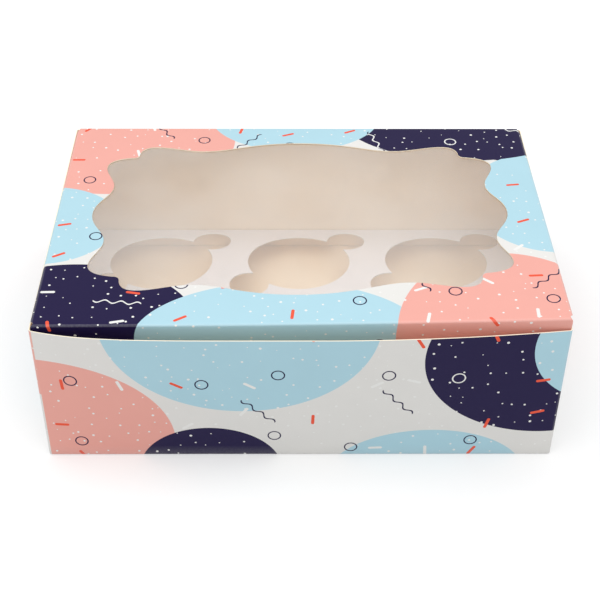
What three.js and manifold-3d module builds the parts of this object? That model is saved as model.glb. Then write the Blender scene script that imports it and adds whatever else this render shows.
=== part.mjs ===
// Cupcake box: a folded paperboard carton with a hinged window lid and a card insert for six cakes.
// Millimetres, +Z up. The origin is the middle of the base's underside. +X is the box's right side
// seen from the front, and +Y points from the front wall to the hinge at the back.

import * as THREE from 'three';
import { mergeVertices } from 'three/addons/utils/BufferGeometryUtils.js';
import Module from 'manifold-3d';

const wasm = await Module();
wasm.setup();

// Sheet thicknesses, and the gap left between separate sheets
const BOARD = 0.5;
const CARD = 0.45;
const FILM = 0.2;
const FIT = 0.3;

// Tray: one sheet folded up into a base and four walls
const LENGTH = 240;
const WIDTH = 166;
const WALL_HEIGHT = 78.6;
const CORNER_RADIUS = 1.2;
const TAB_WIDTH = 20;
const TAB_TOP_GAP = 5;

// The front wall springs outwards along its cut top edge, most just right of the middle
const BULGE = 7;
const BULGE_PEAK_SHARE = 0.1;
const BULGE_EXPONENT_LEFT = 6;
const BULGE_EXPONENT_RIGHT = 1.9;

// Lid: a panel with a tuck flap at the front and a dust flap at each side. Its front edge
// stands a little proud of the walls, and the warped right corner stands highest
const FOLD_RADIUS = 1.5;
const LIFT_LEFT = 1.6;
const LIFT_RIGHT = 5.5;
const TUCK_DEPTH = 24;
const TUCK_LEAN = 6;
const TUCK_CORNER = 11;
const DUST_DEPTH = 26;
const DUST_LEAN = 2;
const FLAP_END_GAP = 1.5;
const DUST_END_GAP = 3;

// Window: how far its wavy outline keeps from the lid's edges, and the size of its waves
const WINDOW_SIDE_MARGIN = 18.3;
const WINDOW_FRONT_MARGIN = 21.3;
const WINDOW_BACK_MARGIN = 15.3;
const TROUGH_DEPTH = 8;
const LOBE_DROP = 4;
const LOBE_INSET = 27;
const NOTCH_INSET = 18.5;
const NOTCH_DROP = 14.4;
const EAR_INSET = 2.7;
const EAR_DROP = 23.2;
const FILM_LAP = 8;

// Insert: a card sheet that bows up between two low legs, with a hole for each cake
const LEG_HEIGHT = 11.7;
const CROWN = 10.3;
const LEG_FOLD_RADIUS = 1.2;
const HOLE_DIAMETER = 55.5;
const HOLE_END_MARGIN = 16;
const HOLE_SIDE_MARGIN = 11.4;
const HOLE_COLUMNS = 3;
const HOLE_ROWS = 2;
const LOBE_RADIUS = 10.5;
const LOBE_OFFSET_X = 26.5;
const LOBE_OFFSET_Y = 23;

// How finely curved sheets are divided
const ARC_STEPS = 4;
const FRONT_STEPS = 40;
const LID_COLUMNS = 24;
const LID_ROWS = 16;
const CROWN_STEPS = 20;
const CURVE_STEPS = 6;

// Places worked out from the sizes above
const HALF_LENGTH = LENGTH / 2;
const HALF_WIDTH = WIDTH / 2;
const LID_TOP = WALL_HEIGHT + FIT + BOARD;
const LID_INSET = BOARD + FIT;
const FOLD_X = HALF_LENGTH - LID_INSET - FOLD_RADIUS;
const FOLD_Y = HALF_WIDTH - LID_INSET - FOLD_RADIUS;
const LID_BACK = HALF_WIDTH - BOARD;
const INSERT_END_X = HALF_LENGTH - 2 * BOARD - FIT;
const INSERT_END_Y = HALF_WIDTH - BOARD - FIT;

function steps(from, to, count) {
  return Array.from({ length: count + 1 }, (_, i) => from + ((to - from) * i) / count);
}

function solid(geometry) {
  const bare = geometry.index ? geometry.toNonIndexed() : geometry;
  bare.deleteAttribute('normal');
  bare.deleteAttribute('uv');
  const merged = mergeVertices(bare, 1e-4);
  return new wasm.Manifold(new wasm.Mesh({
    numProp: 3,
    vertProperties: new Float32Array(merged.attributes.position.array),
    triVerts: new Uint32Array(merged.index.array),
  }));
}

function geometryOf(body) {
  const { vertProperties, triVerts } = body.getMesh();
  const geometry = new THREE.BufferGeometry();
  geometry.setAttribute('position', new THREE.BufferAttribute(vertProperties, 3));
  geometry.setIndex(new THREE.BufferAttribute(triVerts, 1));
  return geometry;
}

function fromTriangles(points) {
  const geometry = new THREE.BufferGeometry();
  geometry.setAttribute('position', new THREE.Float32BufferAttribute(points.flatMap((p) => p.toArray()), 3));
  return geometry;
}

// A solid between equal rings of points, lowest first, each counter-clockwise seen from above
function loft(rings) {
  const triangles = [];
  const count = rings[0].length;
  for (let level = 0; level + 1 < rings.length; level += 1) {
    const [low, high] = [rings[level], rings[level + 1]];
    for (let i = 0; i < count; i += 1) {
      const next = (i + 1) % count;
      triangles.push(low[i], low[next], high[next], low[i], high[next], high[i]);
    }
  }
  const [bottom, top] = [rings[0], rings[rings.length - 1]];
  const middleOf = (ring) => new THREE.Vector3(0, 0, ring[0].z);
  for (let i = 0; i < count; i += 1) {
    const next = (i + 1) % count;
    triangles.push(middleOf(bottom), bottom[next], bottom[i]);
    triangles.push(middleOf(top), top[i], top[next]);
  }
  return solid(fromTriangles(triangles));
}

// A closed sheet made of four-cornered cells. A corner holds a point of the outer face and the
// point behind it on the inner face, and a cell runs counter-clockwise seen from outside
function sheet(cells) {
  const triangles = [];
  const borders = new Map();
  const nameOf = (corner) => corner.outer.toArray().map((n) => n.toFixed(3)).join();
  const quad = (a, b, c, d) => triangles.push(a, b, c, a, c, d);
  for (const cell of cells) {
    quad(...cell.map((corner) => corner.outer));
    quad(...cell.map((corner) => corner.inner).reverse());
    cell.forEach((from, i) => {
      const to = cell[(i + 1) % cell.length];
      const shared = borders.delete(`${nameOf(to)} ${nameOf(from)}`);
      if (!shared) borders.set(`${nameOf(from)} ${nameOf(to)}`, [from, to]);
    });
  }
  for (const [from, to] of borders.values()) quad(to.outer, from.outer, from.inner, to.inner);
  return solid(fromTriangles(triangles));
}

// The cells of a grid of corners, where rows and columns run counter-clockwise when not turned
function gridCells(rows, turned = false) {
  const cells = [];
  for (let r = 0; r + 1 < rows.length; r += 1) {
    for (let c = 0; c + 1 < rows[r].length; c += 1) {
      const cell = [rows[r][c], rows[r][c + 1], rows[r + 1][c + 1], rows[r + 1][c]];
      cells.push(turned ? cell.reverse() : cell);
    }
  }
  return cells;
}

// A fold followed for a distance s past its start: how far it has run on and dropped, and its turn
function bend(s, radius, angle) {
  const turn = Math.min(s / radius, angle);
  const straight = Math.max(s - radius * angle, 0);
  return {
    run: radius * Math.sin(turn) + straight * Math.cos(angle),
    drop: radius * (1 - Math.cos(turn)) + straight * Math.sin(angle),
    turn,
  };
}

// Distances along a folded flap: fine steps round the fold, then the steps down to its tip
function flapSteps(radius, angle, depth, count) {
  return [...steps(0, radius * angle, ARC_STEPS), ...steps(radius * angle, depth, count).slice(1)];
}

// Share of the full bulge at x: none at the corners, all of it at the peak
function bulgeShare(x) {
  const side = x / HALF_LENGTH - BULGE_PEAK_SHARE;
  const left = side < 0;
  const reach = Math.abs(side) / (left ? 1 + BULGE_PEAK_SHARE : 1 - BULGE_PEAK_SHARE);
  return 1 - Math.min(reach, 1) ** (left ? BULGE_EXPONENT_LEFT : BULGE_EXPONENT_RIGHT);
}

// The walls' outline at a height, counter-clockwise from the front left corner and moved inwards.
// The inner face rises straight from the same fold as the outer one
function wallOutline(height, inset) {
  const [endX, endY] = [HALF_LENGTH - inset, HALF_WIDTH - inset];
  const radius = Math.max(CORNER_RADIUS - inset, 0.2);
  const sprung = (BULGE * Math.min(height, WALL_HEIGHT)) / WALL_HEIGHT;
  const points = [];
  const corner = (x, y, start) => {
    for (const angle of steps(start, start + Math.PI / 2, ARC_STEPS)) {
      points.push(new THREE.Vector3(x + radius * Math.cos(angle), y + radius * Math.sin(angle), height));
    }
  };
  corner(-endX + radius, -endY + radius, Math.PI);
  for (const x of steps(-endX + radius, endX - radius, FRONT_STEPS).slice(1, -1)) {
    points.push(new THREE.Vector3(x, -endY - sprung * bulgeShare(x), height));
  }
  corner(endX - radius, -endY + radius, -Math.PI / 2);
  corner(endX - radius, endY - radius, 0);
  corner(-endX + radius, endY - radius, Math.PI / 2);
  return points;
}

// A glue tab inside a side wall: it runs on from the front or back wall and is cut off aslant
function glueTab(sideX, sideY) {
  const near = HALF_WIDTH - BOARD;
  const far = near - TAB_WIDTH;
  const top = WALL_HEIGHT - TAB_TOP_GAP;
  const shape = new THREE.Shape([
    new THREE.Vector2(near, BOARD),
    new THREE.Vector2(near, top),
    new THREE.Vector2(far, top - TAB_WIDTH),
    new THREE.Vector2(far, BOARD),
  ]);
  const slab = new THREE.ExtrudeGeometry(shape, { depth: 2 * BOARD, bevelEnabled: false });
  slab.rotateX(Math.PI / 2);
  slab.rotateZ(Math.PI / 2);
  slab.translate(HALF_LENGTH - 2 * BOARD, 0, 0);
  const mirror = new THREE.Matrix4().makeScale(sideX, sideY, 1);
  const placed = slab.applyMatrix4(mirror);
  if (sideX * sideY < 0) {
    const order = placed.attributes.position.array;
    for (let i = 0; i < order.length; i += 9) {
      const second = order.slice(i + 3, i + 6);
      order.copyWithin(i + 3, i + 6, i + 9);
      order.set(second, i + 6);
    }
  }
  return solid(placed);
}

function tray() {
  const outside = loft([wallOutline(0, 0), wallOutline(WALL_HEIGHT, 0)]);
  const above = wallOutline(WALL_HEIGHT, BOARD).map((p) => p.clone().setZ(WALL_HEIGHT + 1));
  const hollow = loft([wallOutline(BOARD, BOARD), wallOutline(WALL_HEIGHT, BOARD), above]);
  let body = outside.subtract(hollow);
  for (const sideX of [-1, 1]) {
    for (const sideY of [-1, 1]) {
      body = body.add(glueTab(sideX, sideY).intersect(outside));
    }
  }
  return geometryOf(body);
}

// How far the lid stands above its flat place: nothing at the hinge, most at the front right
function lift(x, y) {
  const across = (x + HALF_LENGTH) / LENGTH;
  const forward = (LID_BACK - y) / (LID_BACK + FOLD_Y);
  return forward * (LIFT_LEFT + (LIFT_RIGHT - LIFT_LEFT) * across ** 2);
}

function panelCorner(x, y, under = 0) {
  const top = LID_TOP + lift(x, y) - under;
  return { outer: new THREE.Vector3(x, y, top), inner: new THREE.Vector3(x, y, top - BOARD) };
}

// Half of the tuck flap's width at a distance s down it, with round lower corners
function tuckHalf(s) {
  const full = FOLD_X - FLAP_END_GAP;
  const past = Math.max(s - (TUCK_DEPTH - TUCK_CORNER), 0);
  return full - (TUCK_CORNER - Math.sqrt(TUCK_CORNER ** 2 - past ** 2));
}

function tuckCorner(share, s) {
  const angle = Math.PI / 2 + THREE.MathUtils.degToRad(TUCK_LEAN);
  const { run, drop, turn } = bend(s, FOLD_RADIUS, angle);
  const x = share * tuckHalf(s);
  const outer = new THREE.Vector3(x, -FOLD_Y - run, LID_TOP + lift(x, -FOLD_Y) - drop);
  const inward = new THREE.Vector3(0, Math.sin(turn), -Math.cos(turn));
  return { outer, inner: outer.clone().addScaledVector(inward, BOARD) };
}

// A dust flap narrows by its own depth at each end, clear of the glue tabs
function dustCorner(side, share, s) {
  const angle = Math.PI / 2 + THREE.MathUtils.degToRad(DUST_LEAN);
  const { run, drop, turn } = bend(s, FOLD_RADIUS, angle);
  const front = -FOLD_Y + DUST_END_GAP;
  const back = LID_BACK - DUST_END_GAP;
  const start = front + (back - front) * share;
  const taper = s * (1 - 2 * share);
  const outer = new THREE.Vector3(side * (FOLD_X + run), start + taper, LID_TOP + lift(side * FOLD_X, start) - drop);
  const inward = new THREE.Vector3(-side * Math.sin(turn), 0, -Math.cos(turn));
  return { outer, inner: outer.clone().addScaledVector(inward, BOARD) };
}

// One quarter of the wavy outline, from the middle of a long side to the middle of a short side
function windowQuarter(halfLength, halfWidth) {
  const troughX = halfLength * 0.49;
  const troughY = halfWidth - TROUGH_DEPTH;
  const lobeX = halfLength - LOBE_INSET;
  const lobeY = halfWidth - LOBE_DROP;
  const notchX = halfLength - NOTCH_INSET;
  const notchY = halfWidth - NOTCH_DROP;
  const earX = halfLength - EAR_INSET;
  const earY = halfWidth - EAR_DROP;
  const sideX = halfLength - TROUGH_DEPTH;
  const sideY = halfWidth * 0.36;
  const fillet = (earX - notchX) * 0.24;
  const between = (from, to, share) => from + (to - from) * share;
  const shape = new THREE.Path().moveTo(0, halfWidth);
  shape.bezierCurveTo(troughX * 0.52, halfWidth, troughX * 0.72, troughY, troughX, troughY);
  shape.bezierCurveTo(
    between(troughX, lobeX, 0.33), troughY,
    between(troughX, lobeX, 0.7), lobeY,
    lobeX, lobeY,
  );
  shape.bezierCurveTo(
    between(lobeX, notchX, 0.65), lobeY,
    between(lobeX, notchX, 0.93), between(lobeY, notchY, 0.25),
    notchX, notchY + fillet,
  );
  shape.bezierCurveTo(
    notchX, notchY + fillet * 0.3,
    notchX + fillet * 0.3, notchY,
    notchX + fillet, notchY,
  );
  shape.bezierCurveTo(
    between(notchX, earX, 0.7), between(notchY, earY, 0.1),
    earX, between(notchY, earY, 0.42),
    earX, earY,
  );
  shape.bezierCurveTo(earX, between(earY, sideY, 0.36), sideX, between(earY, sideY, 0.64), sideX, sideY);
  shape.bezierCurveTo(sideX, sideY * 0.64, halfLength, sideY * 0.47, halfLength, 0);
  return shape.getPoints(CURVE_STEPS);
}

function windowPrism() {
  const halfLength = HALF_LENGTH - WINDOW_SIDE_MARGIN;
  const halfWidth = HALF_WIDTH - (WINDOW_FRONT_MARGIN + WINDOW_BACK_MARGIN) / 2;
  const centreY = (WINDOW_FRONT_MARGIN - WINDOW_BACK_MARGIN) / 2;
  const quarter = windowQuarter(halfLength, halfWidth);
  const flip = (points, x, y) => points.map((p) => new THREE.Vector2(p.x * x, p.y * y));
  const back = [...quarter].reverse();
  const outline = [
    ...quarter.slice(0, -1),
    ...flip(back, 1, -1).slice(0, -1),
    ...flip(quarter, -1, -1).slice(0, -1),
    ...flip(back, -1, 1).slice(0, -1),
  ];
  const depth = 4 * BOARD + 2 * LIFT_RIGHT;
  const prism = new THREE.ExtrudeGeometry(new THREE.Shape(outline), { depth, bevelEnabled: false });
  prism.translate(0, centreY, LID_TOP - 2 * BOARD);
  return solid(prism);
}

function lid() {
  const tuckEnd = tuckHalf(0);
  const shares = steps(-1, 1, LID_COLUMNS);
  const columns = [-FOLD_X, ...shares.map((share) => share * tuckEnd), FOLD_X];
  const front = -FOLD_Y + DUST_END_GAP;
  const back = LID_BACK - DUST_END_GAP;
  const alongs = steps(0, 1, LID_ROWS);
  const rows = [-FOLD_Y, ...alongs.map((share) => front + (back - front) * share), LID_BACK];
  const cells = gridCells(rows.map((y) => columns.map((x) => panelCorner(x, y))));

  const tuckAngle = Math.PI / 2 + THREE.MathUtils.degToRad(TUCK_LEAN);
  const down = flapSteps(FOLD_RADIUS, tuckAngle, TUCK_DEPTH, 6);
  cells.push(...gridCells(down.map((s) => shares.map((share) => tuckCorner(share, s))), true));

  const dustAngle = Math.PI / 2 + THREE.MathUtils.degToRad(DUST_LEAN);
  const out = flapSteps(FOLD_RADIUS, dustAngle, DUST_DEPTH, 1);
  for (const side of [-1, 1]) {
    cells.push(...gridCells(out.map((s) => alongs.map((share) => dustCorner(side, share, s))), side > 0));
  }
  return geometryOf(sheet(cells).subtract(windowPrism()));
}

// The clear film is glued under the lid round the window, and follows its warp
function windowFilm() {
  const endX = HALF_LENGTH - WINDOW_SIDE_MARGIN + FILM_LAP;
  const front = -HALF_WIDTH + WINDOW_FRONT_MARGIN - FILM_LAP;
  const back = HALF_WIDTH - WINDOW_BACK_MARGIN + FILM_LAP;
  const rows = steps(front, back, LID_ROWS / 2).map((y) => steps(-endX, endX, LID_COLUMNS / 2).map((x) => {
    const corner = panelCorner(x, y, BOARD + FIT);
    corner.inner.setZ(corner.outer.z - FILM);
    return corner;
  }));
  return geometryOf(sheet(gridCells(rows)));
}

// The insert's section from the front foot to the back foot: leg, fold, bow, fold, leg
function insertSection() {
  const foot = BOARD + FIT;
  const shoulder = foot + LEG_HEIGHT;
  const flatEnd = INSERT_END_Y - LEG_FOLD_RADIUS;
  const half = [{ y: -INSERT_END_Y, z: foot, turn: Math.PI / 2 }];
  for (const turn of steps(Math.PI / 2, 0, ARC_STEPS)) {
    half.push({
      y: -flatEnd - LEG_FOLD_RADIUS * Math.sin(turn),
      z: shoulder - LEG_FOLD_RADIUS * (1 - Math.cos(turn)),
      turn,
    });
  }
  const bow = steps(-flatEnd, flatEnd, CROWN_STEPS).slice(1, -1).map((y) => ({
    y,
    z: shoulder + CROWN * (1 - (y / flatEnd) ** 2),
    turn: Math.atan((-2 * CROWN * y) / flatEnd ** 2),
  }));
  const mirrored = half.map(({ y, z, turn }) => ({ y: -y, z, turn: -turn })).reverse();
  return [...half, ...bow, ...mirrored];
}

// One cake hole with its two finger lobes, cut right through the bowed sheet
function holePrism(x, y) {
  const height = LEG_HEIGHT + CROWN + 4 * CARD;
  const drill = (radius, atX, atY, sides) => {
    const pin = new THREE.CylinderGeometry(radius, radius, height, sides);
    pin.rotateX(Math.PI / 2);
    pin.translate(atX, atY, BOARD + FIT + CARD + height / 2);
    return solid(pin);
  };
  return drill(HOLE_DIAMETER / 2, x, y, 40)
    .add(drill(LOBE_RADIUS, x + LOBE_OFFSET_X, y + LOBE_OFFSET_Y, 20))
    .add(drill(LOBE_RADIUS, x - LOBE_OFFSET_X, y - LOBE_OFFSET_Y, 20));
}

function insert() {
  const rows = insertSection().map(({ y, z, turn }) => [-INSERT_END_X, INSERT_END_X].map((x) => {
    const outer = new THREE.Vector3(x, y, z);
    const inward = new THREE.Vector3(0, Math.sin(turn), -Math.cos(turn));
    return { outer, inner: outer.clone().addScaledVector(inward, CARD) };
  }));
  let body = sheet(gridCells(rows));
  const reachX = INSERT_END_X - HOLE_END_MARGIN - HOLE_DIAMETER / 2;
  const reachY = INSERT_END_Y - HOLE_SIDE_MARGIN - HOLE_DIAMETER / 2;
  for (const x of steps(-reachX, reachX, HOLE_COLUMNS - 1)) {
    for (const y of steps(-reachY, reachY, HOLE_ROWS - 1)) {
      body = body.subtract(holePrism(x, y));
    }
  }
  return geometryOf(body);
}

function mesh(name, geometry, color, roughness, more = {}) {
  const made = new THREE.Mesh(geometry, new THREE.MeshStandardMaterial({ color, roughness, metalness: 0, ...more }));
  made.name = name;
  return made;
}

const bottom = new THREE.Group();
bottom.add(mesh('tray', tray(), 0xa9cbd6, 0.55));
bottom.add(mesh('insert', insert(), 0xe8dedd, 0.7));

const cover = new THREE.Group();
cover.add(mesh('lid', lid(), 0xc4e3ee, 0.5));
cover.add(mesh('window_film', windowFilm(), 0xffffff, 0.1, { transparent: true, opacity: 0.2 }));

const cupcakeBox = new THREE.Group();
cupcakeBox.add(bottom, cover);

export default cupcakeBox;
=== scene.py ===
"""Looks of a folded paperboard cupcake box with a window lid and a card insert for six cakes.

Lengths are in metres. Sizes come from the frame's own boxes, and the pieces follow in the order
in which the box is made up: tray, insert, lid, window film, then the floor, lights and camera.
"""

import math

import bpy
import numpy as np
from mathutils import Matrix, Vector
from mathutils.geometry import delaunay_2d_cdt


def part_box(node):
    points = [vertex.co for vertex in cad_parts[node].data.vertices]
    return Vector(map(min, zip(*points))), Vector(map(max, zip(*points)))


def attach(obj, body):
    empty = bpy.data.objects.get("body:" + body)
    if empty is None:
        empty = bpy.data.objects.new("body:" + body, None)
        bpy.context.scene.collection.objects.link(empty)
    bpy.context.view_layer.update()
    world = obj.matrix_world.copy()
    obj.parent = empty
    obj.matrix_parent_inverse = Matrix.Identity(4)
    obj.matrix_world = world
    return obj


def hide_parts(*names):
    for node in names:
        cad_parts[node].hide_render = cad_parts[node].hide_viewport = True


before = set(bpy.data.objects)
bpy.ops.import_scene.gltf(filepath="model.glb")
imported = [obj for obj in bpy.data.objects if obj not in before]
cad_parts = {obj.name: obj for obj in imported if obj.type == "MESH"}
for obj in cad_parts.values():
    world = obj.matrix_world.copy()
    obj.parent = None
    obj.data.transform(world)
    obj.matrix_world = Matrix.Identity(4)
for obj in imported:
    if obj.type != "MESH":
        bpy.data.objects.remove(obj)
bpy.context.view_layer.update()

# Tray: the base and four walls of the carton, folded up in small round folds from one sheet of
# paperboard. The sheet is coated and printed outside and plain and cream inside, with a paler raw
# edge wherever the die cut it, and the front wall springs out along its cut top.
MM = 0.001
BOARD = 0.5 * MM
TRAY_FOLD = 1.0 * MM
TRAY_CORNER = 1.2 * MM
BULGE_PEAK = 0.1
BULGE_EXPONENTS = (6.0, 1.9)
WALL_ROWS = 14
FOLD_ROWS = 5
FRONT_STATIONS = 120
SIDE_STATIONS = 40
CORNER_STATIONS = 7
CORNER_FACING = 0.1
PRINT_OFF_WHITE = (0.74, 0.73, 0.705)
PRINT_BLUE = (0.415, 0.64, 0.73)
PRINT_PINK = (0.80, 0.385, 0.33)
PRINT_NAVY = (0.012, 0.007, 0.050)
PRINT_CORAL = (0.80, 0.10, 0.05)
PRINT_WHITE = (0.80, 0.80, 0.78)
PRINT_MOTTLE = (0.0, 0.0, 0.0)
PLAIN_BOARD = (0.95, 0.75, 0.52)
PLAIN_CLOUD = (0.96, 0.785, 0.565)
PLAIN_FIBRE = (0.85, 0.66, 0.44)
PLAIN_FIBRE_SHARE = 0.15
RAW_EDGE = (0.97, 0.90, 0.74)
RAW_FIBRE = (0.90, 0.80, 0.62)
SHARP_ANGLE = math.radians(35)
SEED_SLANT = 1.7
CHANCE_SHIFT = (31.0, 17.0, 5.0)


def board_mesh(name, outer, inner, faces, uvs, crease, materials):
    """A closed sheet. The outer points and faces are given, the inner face is the same faces turned
    round on the inner points, and a rim of quads joins the two along each edge with one face only.
    Each group of faces reads its points' places on the print from its own list.
    """
    count = len(outer)
    edges = np.concatenate([np.stack([f, np.roll(f, -1, 1)], -1).reshape(-1, 2) for f in faces])
    forward = edges[:, 0] * count + edges[:, 1]
    backward = edges[:, 1] * count + edges[:, 0]
    rim = edges[~np.isin(forward, backward)]
    rim_faces = np.column_stack([rim[:, 1], rim[:, 0], rim[:, 0] + count, rim[:, 1] + count])
    groups = [*faces, *[f[:, ::-1] + count for f in faces], rim_faces]
    slots = [0] * len(faces) + [1] * len(faces) + [2]
    corners = np.concatenate([g.ravel() for g in groups])
    sides = np.concatenate([np.full(len(g), g.shape[1]) for g in groups])
    mesh = bpy.data.meshes.new(name)
    mesh.vertices.add(2 * count)
    mesh.vertices.foreach_set("co", np.concatenate([outer, inner]).astype(np.float32).ravel())
    mesh.loops.add(len(corners))
    mesh.loops.foreach_set("vertex_index", corners.astype(np.int32))
    mesh.polygons.add(len(sides))
    mesh.polygons.foreach_set("loop_start", (np.cumsum(sides) - sides).astype(np.int32))
    last = len(materials) - 1
    finish = np.concatenate([np.full(len(g), min(slot, last)) for g, slot in zip(groups, slots)])
    mesh.polygons.foreach_set("material_index", finish.astype(np.int32))
    layer = mesh.uv_layers.new(name="print_plane")
    places = [np.concatenate([p, p])[g.ravel()] for p, g in zip([*uvs, *uvs, uvs[0]], groups)]
    layer.data.foreach_set("uv", np.concatenate(places).astype(np.float32).ravel())
    mesh.update(calc_edges=True)
    mark = mesh.attributes.new("crease", "FLOAT", "POINT")
    mark.data.foreach_set("value", np.concatenate([crease, crease]).astype(np.float32))
    mesh.validate()
    mesh.set_sharp_from_angle(angle=SHARP_ANGLE)
    for material in materials:
        mesh.materials.append(material)
    piece = bpy.data.objects.new(name, mesh)
    bpy.context.scene.collection.objects.link(piece)
    return piece


def grid_faces(rows, columns, turned=False):
    """Quads of a grid whose points are numbered row by row."""
    corner = np.arange((rows - 1) * columns).reshape(rows - 1, columns)[:, :-1].ravel()
    quads = np.column_stack([corner, corner + 1, corner + columns + 1, corner + columns])
    return quads[:, ::-1] if turned else quads


class Graph:
    """A short way to write a material's maths as nodes."""

    def __init__(self, name):
        self.material = bpy.data.materials.new(name)
        self.material.use_nodes = True
        self.tree = self.material.node_tree
        self.shader = self.tree.nodes["Principled BSDF"]

    def node(self, kind, inputs=None, **settings):
        """A node with its settings, and its inputs given as values or as other nodes' sockets."""
        made = self.tree.nodes.new(kind)
        for key, value in settings.items():
            setattr(made, key, value)
        for key, value in (inputs or {}).items():
            self.feed(made.inputs[key], value)
        return made

    def feed(self, socket, value):
        """Links a socket, or sets its value."""
        if isinstance(value, bpy.types.NodeSocket):
            self.tree.links.new(value, socket)
        else:
            socket.default_value = value

    def maths(self, operation, *values, clamp=False):
        """One maths node."""
        inputs = dict(enumerate(values))
        return self.node("ShaderNodeMath", inputs, operation=operation, use_clamp=clamp).outputs[0]

    def vector(self, operation, *values):
        """One vector maths node, with its vector or, for a length, its number."""
        made = self.node("ShaderNodeVectorMath", dict(enumerate(values)), operation=operation)
        return made.outputs["Value" if operation == "LENGTH" else "Vector"]

    def parts(self, vector):
        """The x and y of a vector."""
        made = self.node("ShaderNodeSeparateXYZ", {0: vector})
        return made.outputs[0], made.outputs[1]

    def mix(self, share, first, second):
        """A colour mixed from two others, which go into the node's sixth and seventh inputs."""
        made = self.node("ShaderNodeMix", data_type="RGBA", clamp_factor=True)
        self.feed(made.inputs[0], share)
        for place, colour in ((6, first), (7, second)):
            self.feed(made.inputs[place], (*colour, 1) if isinstance(colour, tuple) else colour)
        return made.outputs[2]

    def noise(self, coordinates, scale, detail=2.0, roughness=0.5):
        """Smooth noise from 0 to 1."""
        values = {"Vector": coordinates, "Scale": scale, "Detail": detail, "Roughness": roughness}
        return self.node("ShaderNodeTexNoise", values).outputs[0]

    def bump(self, height, strength, distance):
        """Tilts the shader's normal by a height."""
        values = {"Strength": strength, "Distance": distance, "Height": height}
        self.feed(self.shader.inputs["Normal"], self.node("ShaderNodeBump", values).outputs[0])


def lattice(graph, sheet, size, seed, spread=0.45):
    """Square cells of a size, each with a motif turned and moved by its own random numbers. The
    seed shifts the cells, and the spread is the share of a cell that a motif may move. Gives the
    place within the motif and one more random number from 0 to 1.
    """
    shifted = graph.vector("ADD", sheet, (seed * size, seed * size * SEED_SLANT, 0.0))
    scaled = graph.vector("SCALE", shifted)
    scaled.node.inputs["Scale"].default_value = 1 / size
    cell = graph.vector("FLOOR", scaled)
    within = graph.vector("SUBTRACT", graph.vector("FRACTION", scaled), (0.5, 0.5, 0.0))
    random = graph.node("ShaderNodeTexWhiteNoise", {"Vector": cell}, noise_dimensions="3D")
    centred = graph.vector("SUBTRACT", random.outputs["Color"], (0.5, 0.5, 0.5))
    jitter = graph.vector("MULTIPLY", centred, (spread, spread, 0.0))
    place = graph.vector("SCALE", graph.vector("SUBTRACT", within, jitter))
    place.node.inputs["Scale"].default_value = size
    turn = graph.maths("MULTIPLY", random.outputs["Value"], math.tau)
    rotation = {"Vector": place, "Angle": turn}
    turned = graph.node("ShaderNodeVectorRotate", rotation, rotation_type="Z_AXIS")
    other_cell = {"Vector": graph.vector("ADD", cell, CHANCE_SHIFT)}
    chance = graph.node("ShaderNodeTexWhiteNoise", other_cell, noise_dimensions="3D")
    return turned.outputs["Vector"], chance.outputs["Value"]


def sprinkle(graph, place, half_length, half_width):
    """1 inside a rod with round ends: the distance from the rod's middle line is under its half
    width.
    """
    x, y = graph.parts(place)
    beyond = graph.maths("SUBTRACT", graph.maths("ABSOLUTE", x), half_length)
    past = graph.maths("MAXIMUM", beyond, 0.0)
    squares = graph.maths("ADD", graph.maths("MULTIPLY", past, past), graph.maths("MULTIPLY", y, y))
    return graph.maths("LESS_THAN", graph.maths("SQRT", squares), half_width)


def ring(graph, place, radius, half_width):
    """1 on a ring: the distance from the middle differs from the radius by under the half width."""
    away = graph.maths("ABSOLUTE", graph.maths("SUBTRACT", graph.vector("LENGTH", place), radius))
    return graph.maths("LESS_THAN", away, half_width)


def wave(graph, place, half_length, height, length, half_width):
    """1 on a short wavy line: y follows a sine of x, within the line's ends."""
    x, y = graph.parts(place)
    sine = graph.maths("SINE", graph.maths("MULTIPLY", x, math.tau / length))
    away = graph.maths("SUBTRACT", y, graph.maths("MULTIPLY", sine, height))
    near = graph.maths("LESS_THAN", graph.maths("ABSOLUTE", away), half_width)
    inside = graph.maths("LESS_THAN", graph.maths("ABSOLUTE", x), half_length)
    return graph.maths("MULTIPLY", near, inside)


def between(graph, value, low, high):
    """1 where a number lies in a range, which picks a share of the cells."""
    above = graph.maths("GREATER_THAN", value, low)
    return graph.maths("MULTIPLY", above, graph.maths("LESS_THAN", value, high))


# The sheet plane that the print is laid out on: around the walls from the front left corner, with
# height upwards, and the lid above the back wall that it is joined to
tray_low, tray_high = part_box("tray")
HALF_LENGTH = tray_high.x
HALF_WIDTH = tray_high.y
WALL_HEIGHT = tray_high.z
BULGE = -tray_low.y - tray_high.y
BACK_MIDDLE = 3 * HALF_LENGTH + 2 * HALF_WIDTH


def on_front(x, z):
    """Place on the sheet plane of a spot on the front wall, in mm."""
    return HALF_LENGTH + x * MM, z * MM


def on_right(y, z):
    """Place on the sheet plane of a spot on the right wall, in mm."""
    return 2 * HALF_LENGTH + HALF_WIDTH + y * MM, z * MM


def on_back(x, z):
    """Place on the sheet plane of a spot on the back wall, in mm."""
    return BACK_MIDDLE - x * MM, z * MM


def on_left(y, z):
    """Place on the sheet plane of a spot on the left wall, in mm."""
    return 4 * HALF_LENGTH + 3 * HALF_WIDTH - y * MM, z * MM


def on_lid(x, y):
    """Place on the sheet plane of a spot on the lid, in mm."""
    return BACK_MIDDLE - x * MM, WALL_HEIGHT + HALF_WIDTH - y * MM


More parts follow.
